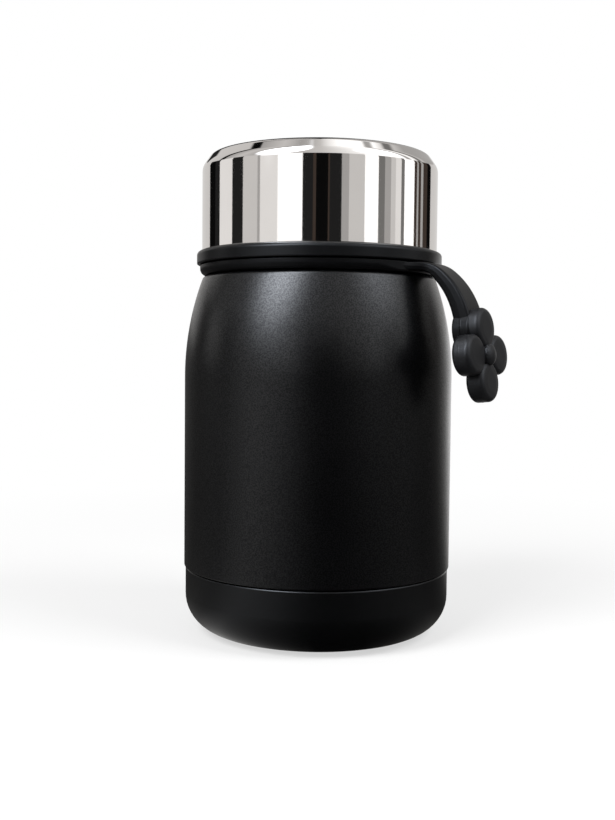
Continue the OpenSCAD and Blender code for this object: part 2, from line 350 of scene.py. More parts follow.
def dress_node(node: str, finish: bpy.types.Material) -> None:
    """Gives a node of the frame a finish in place of its plain one.

    Args:
        node: The node's name.
        finish: Its material.
    """
    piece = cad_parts[node]
    piece.data.materials.clear()
    piece.data.materials.append(finish)
    LOG.info("%s: shown as built", node)


class Graph:
    """A node tree, with short calls that add its nodes and wire them."""

    def __init__(self, tree: bpy.types.NodeTree) -> None:
        """Starts on a tree, which is emptied."""
        self.tree = tree
        self.tree.nodes.clear()

    def add(
        self, kind: str, inputs: Mapping[str | int, Value] | None = None, **settings: object,
    ) -> bpy.types.Node:
        """Adds a node.

        Args:
            kind: The node's type.
            inputs: Values or sockets for its inputs, by name or number.
            settings: The node's own settings.

        Returns:
            The node.
        """
        node = self.tree.nodes.new(kind)
        for key, setting in settings.items():
            setattr(node, key, setting)
        for key, value in (inputs or {}).items():
            self.wire(value, node.inputs[key])
        return node

    def wire(self, value: Value, socket: bpy.types.NodeSocket) -> None:
        """Links a socket to an input, or sets the input's value.

        Args:
            value: The socket or the value.
            socket: The input.
        """
        if isinstance(value, bpy.types.NodeSocket):
            self.tree.links.new(value, socket)
        else:
            socket.default_value = value

    def math(self, operation: str, first: Value, second: Value = 0.0) -> bpy.types.NodeSocket:
        """Works out one operation on two numbers."""
        return self.add("ShaderNodeMath", {0: first, 1: second}, operation=operation).outputs[0]

    def between(self, share: Value, low: Value, high: Value) -> bpy.types.NodeSocket:
        """Mixes two numbers by a share."""
        return self.add("ShaderNodeMix", {0: share, 2: low, 3: high}, data_type="FLOAT").outputs[0]

    def tint(self, share: Value, low: Value, high: Value) -> bpy.types.NodeSocket:
        """Mixes two colours by a share."""
        return self.add("ShaderNodeMix", {0: share, 6: low, 7: high}, data_type="RGBA").outputs[2]

    def rise(self, value: Value, low: Value, high: Value) -> bpy.types.NodeSocket:
        """Rises smoothly from 0 to 1 as the value goes from low to high."""
        ends = {"Value": value, "From Min": low, "From Max": high}
        return self.add("ShaderNodeMapRange", ends, interpolation_type="SMOOTHSTEP").outputs[0]

    def place(self) -> bpy.types.NodeSocket:
        """Gives the point's object coordinates."""
        return self.add("ShaderNodeTexCoord").outputs["Object"]

    def parts(self, vector: Value) -> bpy.types.bpy_prop_collection:
        """Splits a vector into its three numbers."""
        return self.add("ShaderNodeSeparateXYZ", {0: vector}).outputs

    def length(self, u: Value, v: Value) -> bpy.types.NodeSocket:
        """Gives the length of a flat vector, the root of u^2 + v^2."""
        squares = [self.math("MULTIPLY", part, part) for part in (u, v)]
        return self.math("SQRT", self.math("ADD", *squares))

    def noise(
        self, place: Value, scale: Value, detail: float, roughness: float = 0.5,
    ) -> bpy.types.NodeSocket:
        """Gives a noise between 0 and 1."""
        inputs = {"Vector": place, "Scale": scale, "Detail": detail, "Roughness": roughness}
        return self.add("ShaderNodeTexNoise", inputs).outputs[0]

    def group(self, tree: bpy.types.NodeTree, **values: float) -> bpy.types.bpy_prop_collection:
        """Places a node group with its own values and gives its outputs."""
        return self.add("ShaderNodeGroup", values, node_tree=tree).outputs

    def relief(self, height: Value, depth: float) -> bpy.types.NodeSocket:
        """Turns a height between 0 and 1 into the normal of a relief of that depth."""
        return self.add("ShaderNodeBump", {"Height": height, "Distance": depth}).outputs[0]


def opaque(colour: Colour) -> tuple[float, float, float, float]:
    """Gives a colour its full alpha."""
    return (*colour, 1.0)


class Effects:
    """Surface effects that several finishes share, each a node group that is made once."""

    broad_scale: float = 0.37
    broad_share: float = 0.35
    dot_scale: float = 1.1
    dot_rise: tuple[float, float] = (0.36, 0.64)
    cloud_rise: tuple[float, float] = (0.32, 0.7)

    def __init__(self) -> None:
        """Makes every group."""
        self.grain = self._grain()
        self.patches = self._patches()
        self.lines = self._lines()

    @staticmethod
    def _start(
        name: str, size: str, outputs: Sequence[str],
    ) -> tuple[Graph, bpy.types.NodeSocket, bpy.types.Node]:
        """Starts a group that has one number in and some out.

        Args:
            name: The group's name.
            size: Name of its input.
            outputs: Names of its outputs.

        Returns:
            Its graph, its input, and the node that takes its outputs.
        """
        tree = bpy.data.node_groups.new(name, "ShaderNodeTree")
        graph = Graph(tree)
        tree.interface.new_socket(size, in_out="INPUT", socket_type="NodeSocketFloat")
        for label in outputs:
            tree.interface.new_socket(label, in_out="OUTPUT", socket_type="NodeSocketFloat")
        return graph, graph.add("NodeGroupInput").outputs[0], graph.add("NodeGroupOutput")

    def _grain(self) -> bpy.types.NodeTree:
        """Makes fine grain: a fine noise over a broader one is its height, and a third one its speckle.

        Returns:
            The group, with the grain's size in, and its height and its speckle out.
        """
        graph, size, result = self._start("fine_grain", "Size", ["Height", "Speckle"])
        place = graph.place()
        scale = graph.math("DIVIDE", 1.0, size)
        fine = graph.noise(place, scale, detail=2.0, roughness=0.55)
        broad = graph.noise(place, graph.math("MULTIPLY", scale, self.broad_scale), detail=1.0)
        dots = graph.noise(place, graph.math("MULTIPLY", scale, self.dot_scale), detail=1.0)
        graph.wire(graph.between(self.broad_share, fine, broad), result.inputs["Height"])
        graph.wire(graph.rise(dots, *self.dot_rise), result.inputs["Speckle"])
        return graph.tree

    def _patches(self) -> bpy.types.NodeTree:
        """Makes soft patches, as handling leaves them: a cloudy noise, stretched to run from 0 to 1.

        Returns:
            The group, with the patches' size in and their mask out.
        """
        graph, size, result = self._start("soft_patches", "Size", ["Mask"])
        cloud = graph.noise(graph.place(), graph.math("DIVIDE", 1.0, size), detail=4.0, roughness=0.6)
        graph.wire(graph.rise(cloud, *self.cloud_rise), result.inputs["Mask"])
        return graph.tree

    def _lines(self) -> bpy.types.NodeTree:
        """Makes fine lines round the axis: a noise of radius and height that hardly changes along the turn.

        Returns:
            The group, with the lines' spacing in and their height out.
        """
        graph, spacing, result = self._start("turned_lines", "Spacing", ["Height"])
        x, y, z = graph.parts(graph.place())
        lines = graph.add("ShaderNodeCombineXYZ", {
            0: graph.math("DIVIDE", graph.length(x, y), spacing),
            1: graph.math("DIVIDE", z, spacing),
            2: graph.math("ARCTAN2", y, x),
        }).outputs[0]
        graph.wire(graph.noise(lines, 1.0, detail=3.0, roughness=0.65), result.inputs["Height"])
        return graph.tree


@dataclass(frozen=True)
class Finish:
    """A surface of two colours and two roughnesses in soft patches, under a fine grain."""

    name: str
    colour: Colour
    patch_colour: Colour
    roughness: float
    patch_roughness: float
    metallic: float = 0.0
    patch_size: float = 14.0 * MM
    grain_size: float = 0.3 * MM
    grain_depth: float = 0.01 * MM
    specular: float = 0.5
    tint: Colour = PLAIN

    def material(self, effects: Effects) -> bpy.types.Material:
        """Builds the material.

        Args:
            effects: The shared effects.

        Returns:
            The material.
        """
        material = bpy.data.materials.new(self.name)
        material.use_nodes = True
        graph = Graph(material.node_tree)
        shader = graph.add("ShaderNodeBsdfPrincipled", self.inputs(graph, effects))
        graph.add("ShaderNodeOutputMaterial", {0: shader.outputs[0]})
        return material

    def inputs(self, graph: Graph, effects: Effects) -> dict[str, Value]:
        """Works out the shader's inputs.

        Args:
            graph: The material's graph.
            effects: The shared effects.

        Returns:
            Values and sockets, by the names of the inputs.
        """
        mask = graph.group(effects.patches, Size=self.patch_size)["Mask"]
        return {
            "Base Color": graph.tint(mask, opaque(self.colour), opaque(self.patch_colour)),
            "Roughness": graph.between(mask, self.roughness, self.patch_roughness),
            "Metallic": self.metallic,
            "Specular IOR Level": self.specular,
            "Specular Tint": opaque(self.tint),
            "Normal": self.normal(graph, effects),
        }

    def normal(self, graph: Graph, effects: Effects) -> bpy.types.NodeSocket:
        """Gives the normal of the fine grain."""
        grain = graph.group(effects.grain, Size=self.grain_size)["Height"]
        return graph.relief(grain, self.grain_depth)


@dataclass(frozen=True)
class TurnedSteel(Finish):
    """Bare steel with fine lines round the axis, from turning or polishing."""

    line_spacing: float = 0.25 * MM
    line_depth: float = 0.004 * MM

    def normal(self, graph: Graph, effects: Effects) -> bpy.types.NodeSocket:
        """Gives the normal of the turned lines, in place of the grain's."""
        lines = graph.group(effects.lines, Spacing=self.line_spacing)["Height"]
        return graph.relief(lines, self.line_depth)


@dataclass(frozen=True)
class PowderCoat(Finish):
    """A grained coat that glints in fine speckles and ends at a height: above it the steel is bare."""

    glint_low: float = 0.17
    glint_high: float = 0.55
    glint_roughness: float = 0.28
    coat_end: float = 1.0
    steel_colour: Colour = (0.6, 0.59, 0.58)
    steel_roughness: float = 0.26
    line_spacing: float = 0.3 * MM
    line_share: float = 0.3
    fade: float = 0.15 * MM

    def _bare(self, graph: Graph) -> bpy.types.NodeSocket:
        """Rises from 0 to 1 where the coat ends and the bare steel starts."""
        height = graph.parts(graph.place())[2]
        return graph.rise(height, self.coat_end - self.fade, self.coat_end + self.fade)

    def inputs(self, graph: Graph, effects: Effects) -> dict[str, Value]:
        """Works out the shader's inputs: the coat, its glints, and the bare steel above it.

        Args:
            graph: The material's graph.
            effects: The shared effects.

        Returns:
            Values and sockets, by the names of the inputs.
        """
        coat = super().inputs(graph, effects)
        bare = self._bare(graph)
        speckle = graph.group(effects.grain, Size=self.grain_size)["Speckle"]
        glint = graph.between(speckle, self.glint_low, self.glint_high)
        return {
            **coat,
            "Base Color": graph.tint(bare, coat["Base Color"], opaque(self.steel_colour)),
            "Roughness": graph.between(bare, coat["Roughness"], self.steel_roughness),
            "Metallic": bare,
            "Coat Weight": graph.between(bare, glint, 0.0),
            "Coat Roughness": self.glint_roughness,
        }

    def normal(self, graph: Graph, effects: Effects) -> bpy.types.NodeSocket:
        """Gives the normal of the grain, and of fine turned lines on the bare steel.

        Args:
            graph: The material's graph.
            effects: The shared effects.

        Returns:
            The normal.
        """
        grain = graph.group(effects.grain, Size=self.grain_size)["Height"]
        lines = graph.group(effects.lines, Spacing=self.line_spacing)["Height"]
        height = graph.between(self._bare(graph), grain, graph.math("MULTIPLY", lines, self.line_share))
        return graph.relief(height, self.grain_depth)


@dataclass(frozen=True)
class Thread:
    """A rolled screw thread: ridges that climb round a wall, right-handed, with several starts."""

    wall: float
    height: float
    low: float
    high: float
    width: float
    offset: float = 0.0
    lead: float = 12.0 * MM
    starts: int = 3
    fade: float = 1.2 * MM

    def swell(self, radius: Array, angle: Array, z: Array) -> Array:
        """Gives the ridges' height over the wall.

        Along Z the ridges repeat every lead / starts and climb by lead in a turn. One is an eased bump of
        its width, and all fade out towards the thread's two ends.

        Args:
            radius: Radius of each point, of which only those on the wall move.
            angle: Angle of each point round the axis.
            z: Height of each point.

        Returns:
            The radius to add.
        """
        pitch = self.lead / self.starts
        climbed = (z - self.offset - self.lead * angle / TURN) / pitch
        away = np.abs(climbed - np.round(climbed)) * pitch
        ends = ease((z - self.low) / self.fade) * ease((self.high - z) / self.fade)
        on_wall = np.abs(radius - self.wall) < MERGE
        return self.height * on_wall * ends * ease(1.0 - 2.0 * away / self.width)


@dataclass
class Vessel:
    """The double-walled steel vessel: a coated outer wall, and a bare inner one that joins it at the lip."""

    wall: float = 0.6 * MM
    shoulder_start: float = 74.9 * MM
    shoulder_top: float = 87.4 * MM
    ledge: float = 3.75 * MM
    shoulder_round: float = 70.0 * MM
    edge_round: float = 1.3 * MM
    neck: float = 24.8 * MM
    neck_gap: float = 1.0 * MM
    fillet: float = 0.8 * MM
    lip: float = 0.9 * MM
    seam: float = 16.25 * MM
    seam_round: float = 0.3 * MM
    floor_round: float = 8.0 * MM
    weld_bulge: float = 0.12 * MM
    weld_reach: float = 0.5 * MM
    weld_round: float = 0.4 * MM
    coat_overlap: float = 1.0 * MM
    thread_height: float = 0.8 * MM
    thread_width: float = 1.8 * MM
    thread_start: float = 4.9 * MM
    thread_end: float = 1.2 * MM
    thread_step: float = 0.3 * MM
    segments: int = 256
    radius: float = field(init=False)
    bottom: float = field(init=False)
    top: float = field(init=False)
    spigot: float = field(init=False)
    thread: Thread = field(init=False)

    def __post_init__(self) -> None:
        """Takes the overall sizes from the frame."""
        low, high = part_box("outer_shell")
        self.radius, self.bottom, self.top = high.x, low.z, high.z
        self.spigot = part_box("bottom_plate")[1].x
        self.thread = Thread(
            wall=self.neck, height=self.thread_height, width=self.thread_width,
            low=self.shoulder_top + self.thread_start, high=self.top - self.thread_end,
        )

    def _shoulder(self, inset: float, top: float) -> list[Corner]:
        """Gives the shoulder's two corners, moved inwards by a distance and cut off at a height.

        The wall leans inwards in a straight slope. Moved by d, its foot drops by d tan(slope / 2) and its
        top moves in by d / cos(slope).

        Args:
            inset: Distance from the outer face.
            top: Height of the flat top.

        Returns:
            The foot and the top corner.
        """
        rise = self.shoulder_top - self.shoulder_start
        slope = math.atan((self.radius - self.neck - self.ledge) / rise)
        lean = (top - self.shoulder_start) * math.tan(slope)
        foot = self.shoulder_start - inset * math.tan(slope / 2.0)
        edge = self.radius - lean - inset / math.cos(slope)
        return [
            Corner(self.radius - inset, foot, self.shoulder_round - inset),
            Corner(edge, top, max(self.edge_round - inset, self.fillet)),
        ]

    def outer_wall(self) -> bpy.types.Object:
        """Makes the coated outer wall with its shoulder and its threaded neck.

        Returns:
            The piece.
        """
        inner_neck = self.neck - self.wall
        ceiling = self.shoulder_top - self.wall
        step_in = self.seam + self.wall
        outline = Outline([
            Corner(self.spigot, self.bottom),
            Corner(self.spigot, self.seam, self.seam_round),
            Corner(self.radius, self.seam, self.seam_round),
            *self._shoulder(0.0, self.shoulder_top),
            Corner(self.neck, self.shoulder_top, self.fillet, self.thread_step),
            Corner(self.neck, self.top),
            Corner(inner_neck, self.top),
            Corner(inner_neck, ceiling, self.fillet + self.wall),
            *reversed(self._shoulder(self.wall, ceiling)),
            Corner(self.radius - self.wall, step_in),
            Corner(self.spigot - self.wall, step_in),
            Corner(self.spigot - self.wall, self.bottom),
        ])
        return turned("coated_body", outline, self.segments, self.thread.swell)

    def inner_wall(self) -> bpy.types.Object:
        """Makes the bare inner wall, from its rounded floor to its rolled lip.

        Returns:
            The piece.
        """
        low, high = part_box("liner_bottom")
        outside, weld = high.x, high.z
        inside = outside - self.wall
        inset = self.radius - outside
        ceiling = self.shoulder_top - inset
        neck = self.neck - self.wall - self.neck_gap
        mouth = neck - self.wall
        lip_top = self.top + self.lip
        outline = Outline([
            Corner(0.0, low.z),
            Corner(outside, low.z, self.floor_round + self.wall),
            *self._shoulder(inset, ceiling),
            Corner(neck, ceiling, self.fillet),
            Corner(neck, self.top),
            Corner(self.neck, self.top),
            Corner(self.neck, lip_top, self.lip / 2.0),
            Corner(mouth, lip_top, self.lip / 2.0),
            Corner(mouth, ceiling - self.wall, self.fillet + self.wall),
            *reversed(self._shoulder(inset + self.wall, ceiling - self.wall)),
            Corner(inside, weld + self.weld_reach),
            Corner(inside - self.weld_bulge, weld, self.weld_round),
            Corner(inside, weld - self.weld_reach),
            Corner(inside, low.z + self.wall, self.floor_round),
            Corner(0.0, low.z + self.wall),
        ], closed=False)
        return turned("inner_vessel", outline, self.segments)

    def build(self, effects: Effects) -> None:
        """Builds and dresses the two walls, and dresses what is sealed between them.

        Args:
            effects: The shared effects.
        """
        coat = PowderCoat(
            "powder_coat", (0.0011, 0.0011, 0.0013), (0.0014, 0.0014, 0.0016), specular=0.13, tint=COOL,
            roughness=0.28, patch_roughness=0.31, patch_size=24.0 * MM, grain_size=0.3 * MM,
            grain_depth=0.04 * MM, coat_end=self.shoulder_top + self.coat_overlap,
        )
        steel = TurnedSteel(
            "vessel_steel", (0.6, 0.59, 0.58), (0.56, 0.55, 0.54), metallic=1.0,
            roughness=0.22, patch_roughness=0.3,
        )
        drawn = Finish(
            "drawn_steel", (0.52, 0.52, 0.51), (0.46, 0.46, 0.45), metallic=1.0,
            roughness=0.3, patch_roughness=0.42,
        )
        copper = TurnedSteel(
            "copper_foil", (0.75, 0.42, 0.26), (0.62, 0.33, 0.2), metallic=1.0,
            roughness=0.25, patch_roughness=0.36,
        )
        solder = Finish(
            "dull_solder", (0.42, 0.42, 0.4), (0.33, 0.33, 0.32), metallic=1.0,
            roughness=0.4, patch_roughness=0.55,
        )
        powder = Finish(
            "pressed_powder", (0.1, 0.097, 0.093), (0.07, 0.068, 0.065), metallic=0.3,
            roughness=0.8, patch_roughness=0.9,
        )
        seat(self.outer_wall(), Body.MUG, Slot.BODY, coat.material(effects), "outer_shell")
        seat(self.inner_wall(), Body.MUG, Slot.LINER, steel.material(effects), "inner_liner", "liner_bottom")
        dress_node("heat_shield_foil", copper.material(effects))
        dress_node("bottom_plate", drawn.material(effects))
        dress_node("seal_bead", solder.material(effects))
        dress_node("getter", powder.material(effects))


@dataclass
class Foot:
    """The base cup that is pressed over the lower end of the outer wall, and the pad in its recess."""

    wall: float = 0.6 * MM
    corner_round: float = 9.0 * MM
    rim_round: float = 0.5 * MM
    edge_round: float = 0.3 * MM
    pad_gap: float = 0.05 * MM
    segments: int = 256

    def cup(self) -> bpy.types.Object:
        """Makes the base cup: a deep dish with a rounded corner and a raised middle above the pad.

        Returns:
            The piece.
        """
        low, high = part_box("base_cup")
        pad_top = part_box("foot_pad")[1]
        recess = pad_top.x + self.pad_gap
        floor = low.z + self.wall
        middle = pad_top.z + self.wall
        inside = high.x - self.wall
        outline = Outline([
            Corner(0.0, pad_top.z),
            Corner(recess, pad_top.z),
            Corner(recess, low.z, self.edge_round),
            Corner(high.x, low.z, self.corner_round),
            Corner(high.x, high.z, self.rim_round),
            Corner(inside, high.z),
            Corner(inside, floor, self.corner_round - self.wall),
            Corner(recess + self.wall, floor),
            Corner(recess + self.wall, middle, self.edge_round),
            Corner(0.0, middle),
        ], closed=False)
        return turned("base_cup_shell", outline, self.segments)

    def pad(self) -> bpy.types.Object:
        """Makes the foot pad, a thin disc with rounded edges.

        Returns:
            The piece.
        """
        low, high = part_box("foot_pad")
        outline = Outline([
            Corner(0.0, low.z),
            Corner(high.x, low.z, self.edge_round),
            Corner(high.x, high.z, self.edge_round / 2.0),
            Corner(0.0, high.z),
        ], closed=False)
        return turned("foot_disc", outline, self.segments // 2)

    def build(self, effects: Effects) -> None:
        """Builds and dresses the cup and its pad.

        Args:
            effects: The shared effects.
        """
        coat = Finish(
            "satin_coat", (0.001, 0.001, 0.0011), (0.0013, 0.0013, 0.0014), specular=0.3, tint=COOL,
            roughness=0.29, patch_roughness=0.33, patch_size=22.0 * MM, grain_size=0.25 * MM,
            grain_depth=0.015 * MM,
        )
        rubber = Finish(
            "foot_rubber", (0.02, 0.02, 0.021), (0.026, 0.026, 0.027),
            roughness=0.7, patch_roughness=0.8, grain_depth=0.03 * MM,
        )
        seat(self.cup(), Body.MUG, Slot.BASE, coat.material(effects), "base_cup")
        seat(self.pad(), Body.MUG, Slot.FOOT, rubber.material(effects), "foot_pad")


@dataclass
class Cap:
    """The screw cap: a polished steel cover over a plastic inside, with a gasket that meets the lip."""

    cover_wall: float = 0.5 * MM
    bevel_width: float = 2.2 * MM
    bevel_height: float = 3.1 * MM
    bevel_round: float = 1.6 * MM
    side_round: float = 3.0 * MM
    flange_top: float = 93.4 * MM
    flange_round: float = 1.0 * MM
    edge_round: float = 0.3 * MM
    rim_round: float = 0.15 * MM
    bore: float = 26.2 * MM
    core_gap: float = 0.1 * MM
    core_wall: float = 1.5 * MM
    ceiling: float = 106.2 * MM
    ceiling_top: float = 108.2 * MM
    plug: float = 22.2 * MM
    plug_wall: float = 1.6 * MM
    plug_bottom: float = 102.0 * MM
    bead_round: float = 0.5 * MM
    bead_dip: float = 0.5 * MM
    thread_depth: float = 0.9 * MM
    thread_width: float = 1.5 * MM
    thread_start: float = 1.6 * MM
    thread_end: float = 10.0 * MM
    thread_offset: float = 2.0 * MM
    thread_step: float = 0.3 * MM
    segments: int = 256

    def cover(self) -> bpy.types.Object:
        """Makes the polished cover: a straight side, a bevel and a flat top.

        Returns:
            The piece.
        """
        low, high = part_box("cap_shell")
        bevel = high.z - self.bevel_height
        inner = high.z - self.cover_wall
        lean = math.atan(self.bevel_width / self.bevel_height)
        inside = high.x - self.cover_wall
        shelf = high.x - self.bevel_width
        tight = self.edge_round
        outline = Outline([
            Corner(0.0, high.z),
            Corner(shelf, high.z, self.bevel_round),
            Corner(high.x, bevel, self.side_round),
            Corner(high.x, low.z, self.rim_round),
            Corner(inside, low.z),
            Corner(inside, bevel - self.cover_wall * math.tan(lean / 2.0), tight),
            Corner(shelf - self.cover_wall * math.tan((math.pi / 2.0 - lean) / 2.0), inner, tight),
            Corner(0.0, inner),
        ], closed=False)
        return turned("cap_cover", outline, self.segments)

    def inside(self) -> bpy.types.Object:
        """Makes the plastic inside: its flange, its threaded bore, its ceiling and its plug.

        Returns:
            The piece.
        """
        low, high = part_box("cap_liner")
        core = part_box("cap_shell")[1].x - self.cover_wall - self.core_gap
        core_inside = core - self.core_wall
        plug_inside = self.plug - self.plug_wall
        thread = Thread(
            wall=self.bore, height=-self.thread_depth, width=self.thread_width, offset=self.thread_offset,
            low=low.z + self.thread_start, high=low.z + self.thread_end,
        )
        outline = Outline([
            Corner(0.0, self.ceiling_top),
            Corner(core_inside, self.ceiling_top, self.edge_round),
            Corner(core_inside, high.z, self.edge_round),
            Corner(core, high.z, self.edge_round),
            Corner(core, self.flange_top),
            Corner(high.x, self.flange_top, self.flange_round),
            Corner(high.x, low.z, self.edge_round),
            Corner(self.bore, low.z, self.edge_round, self.thread_step),
            Corner(self.bore, self.ceiling),
            Corner(self.plug, self.ceiling),
            Corner(self.plug, self.plug_bottom, self.edge_round),
            Corner(plug_inside, self.plug_bottom, self.edge_round),
            Corner(plug_inside, self.ceiling, self.edge_round),
            Corner(0.0, self.ceiling),
        ], closed=False)
        return turned("cap_inside", outline, self.segments, thread.swell)

    def gasket(self) -> bpy.types.Object:
        """Makes the gasket: a flat ring with two rounded beads below.

        Returns:
            The piece.
        """
        low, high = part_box("lid_gasket")
        inside, outside = self.plug + self.core_gap, high.x
        middle = (inside + outside) / 2.0
        outline = Outline([
            Corner(inside, low.z, self.bead_round),
            Corner(middle - self.bead_dip, low.z, self.bead_round),
            Corner(middle, low.z + self.bead_dip, self.bead_round / 2.0),
            Corner(middle + self.bead_dip, low.z, self.bead_round),
            Corner(outside, low.z, self.bead_round),
            Corner(outside, high.z, self.edge_round),
            Corner(inside, high.z, self.edge_round),
        ])
        return turned("lid_gasket_ring", outline, self.segments // 2)

    def build(self, effects: Effects) -> None:
        """Builds and dresses the cap's pieces.

        Args:
            effects: The shared effects.
        """
        mirror = TurnedSteel(
            "mirror_steel", (0.72, 0.7, 0.685), (0.7, 0.68, 0.665), metallic=1.0,
            roughness=0.03, patch_roughness=0.055, line_spacing=0.5 * MM, line_depth=0.0004 * MM,
        )
        plastic = Finish(
            "moulded_plastic", (0.0015, 0.0015, 0.0017), (0.002, 0.002, 0.0022), specular=0.2, tint=COOL,
            roughness=0.32, patch_roughness=0.37, grain_size=0.2 * MM, grain_depth=0.006 * MM,
        )
        silicone = Finish(
            "gasket_silicone", (0.55, 0.55, 0.53), (0.5, 0.5, 0.48), roughness=0.45, patch_roughness=0.55,
        )
        foam = Finish(
            "closed_foam", (0.75, 0.73, 0.66), (0.68, 0.66, 0.6),
            roughness=0.9, patch_roughness=0.95, grain_depth=0.1 * MM,
        )
        seat(self.cover(), Body.LID, Slot.COVER, mirror.material(effects), "cap_shell")
        seat(self.inside(), Body.LID, Slot.PLASTIC, plastic.material(effects), "cap_liner")
        seat(self.gasket(), Body.SEAL, Slot.GASKET, silicone.material(effects), "lid_gasket")
        dress_node("lid_insulation", foam.material(effects))


@dataclass
class Strap:
    """The silicone strap: a neck ring, a strap that bends down from it, and a round tab at its end."""

    ring_inside: float = 24.95 * MM
    ring_bottom: float = 87.55 * MM
    ring_round: float = 1.6 * MM
    ring_fillet: float = 0.8 * MM
    edge_round: float = 0.3 * MM
    square_round: float = 0.5 * MM
    square_from: float = math.radians(30.0)
    square_to: float = math.radians(17.0)
    width: float = 8.0 * MM
    thickness: float = 4.2 * MM
    root_thickness: float = 2.0 * MM
    root_fillet: float = 6.0 * MM
    strap_round: float = 0.8 * MM
    draft: float = 0.16 * MM
    root_depth: float = 2.6 * MM
    root_run: float = 0.8 * MM
    root_sink: float = 0.1 * MM
    root_bend: float = math.radians(37.0)
    root_bend_radius: float = 8.75 * MM
    long_bend_radius: float = 20.0 * MM
    end_angle: float = math.radians(84.0)
    tail: float = 2.0 * MM
    tab_radius: float = 4.95 * MM
    tab_thickness: float = 4.4 * MM
    tab_sink: float = 2.2 * MM
    tab_round: float = 0.6 * MM
    parting: float = 0.08 * MM
    parting_width: float = 0.12 * MM
    lead_points: int = 13
    short_points: int = 33
    long_points: int = 49
    tail_points: int = 5
    segments: int = 256
    ring_radius: float = field(init=False)
    ring_top: float = field(init=False)

    def __post_init__(self) -> None:
        """Takes the ring's radius and top from the frame."""
        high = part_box("strap_ring")[1]
        self.ring_radius, self.ring_top = high.y, high.z

    def _bend(self, centre: Array, radius: float, angle: Array) -> Array:
        """Gives points of a bend in the XZ plane: centre + radius (sin a, cos a), with a from upright."""
        return centre + radius * np.stack([np.sin(angle), np.cos(angle)], axis=-1)

    def face_line(self) -> tuple[Array, Array]:
        """Traces the middle of the strap's outer face in the XZ plane.

        It starts flat inside the ring, turns down in a short bend and a long one that is tangent to it, and
        ends in a straight tail.

        Returns:
            The points (x, z), and at each the angle by which the strap has turned down.
        """
        top = self.ring_top - self.root_sink
        root = np.array([self.ring_radius + self.root_run, top - self.root_bend_radius])
        turn = np.array([math.sin(self.root_bend), math.cos(self.root_bend)])
        centre = root - (self.long_bend_radius - self.root_bend_radius) * turn
        lead = np.linspace(self.ring_radius - self.root_depth, root[0], self.lead_points)[:-1]
        short = np.linspace(0.0, self.root_bend, self.short_points)[:-1]
        long = np.linspace(self.root_bend, self.end_angle, self.long_points)
        down = np.array([math.cos(self.end_angle), -math.sin(self.end_angle)])
        tail = np.linspace(0.0, self.tail, self.tail_points)[1:, None]
        reach = self._bend(centre, self.long_bend_radius, long)
        line = np.concatenate([
            np.stack([lead, np.full_like(lead, top)], axis=-1),
            self._bend(root, self.root_bend_radius, short),
            reach,
            reach[-1] + tail * down,
        ])
        angle = np.concatenate([np.zeros_like(lead), short, long, np.full(len(tail), self.end_angle)])
        return line, angle

    def tab_axes(self) -> Axes:
        """Gives the tab's own axes.

        Returns:
            The middle of its outer face, with x to the side, y up along the strap and z outwards.
        """
        line, angle = self.face_line()
        x, z = line[np.argmax(angle)]
        end = self.end_angle
        return Axes(
            np.array([x, 0.0, z]), np.array([0.0, 1.0, 0.0]),
            np.array([-math.cos(end), 0.0, math.sin(end)]), np.array([math.sin(end), 0.0, math.cos(end)]),
        )

    def _ring(self) -> Array:
        """Gives the ring round the neck.

        Its lower edge has a deep rounding, which gives way to a tight one towards the strap: the two
        sections have the same number of points, and each point lies between its places on both by an eased
        share of the angle from the strap.

        Returns:
            The grid of points, whose rows join up.
        """
        def section(rounding: float) -> Array:
            """Carries the ring's section with a rounding of its lower edge round the axis."""
            return carried_round(Outline([
                Corner(self.ring_inside, self.ring_bottom, self.ring_fillet, self.ring_radius),
                Corner(self.ring_radius, self.ring_bottom, rounding, self.ring_radius),
                Corner(self.ring_radius, self.ring_top, self.edge_round),
                Corner(self.ring_inside, self.ring_top, self.edge_round),
            ]).points(), circle(self.segments))

        away = np.arccos(circle(self.segments)[:, 0])
        share = ease((self.square_from - away) / (self.square_from - self.square_to))[None, :, None]
        return section(self.ring_round) * (1.0 - share) + section(self.square_round) * share

    def _half_width(self, along: Array) -> Array:
        """Gives the strap's half width, which a fillet joins to the ring.

        Laid out flat, a fillet of radius r touches the ring of radius R and the strap's side at y = w: its
        middle is at (c, w + r) with c^2 = (R + r)^2 - (w + r)^2, and from the ring to x = c the edge is
        y = w + r - sqrt(r^2 - (c - x)^2).

        Args:
            along: Distance x of each station from the axis, laid out flat.

        Returns:
            Half the width at each station.
        """
        fillet, middle = self.root_fillet, self.width / 2.0 + self.root_fillet
        reach = self.ring_radius + fillet
        centre = math.sqrt(reach * reach - middle * middle)
        touch = centre * self.ring_radius / reach
        short = centre - np.clip(along, touch, centre)
        return middle - np.sqrt(fillet * fillet - short * short)

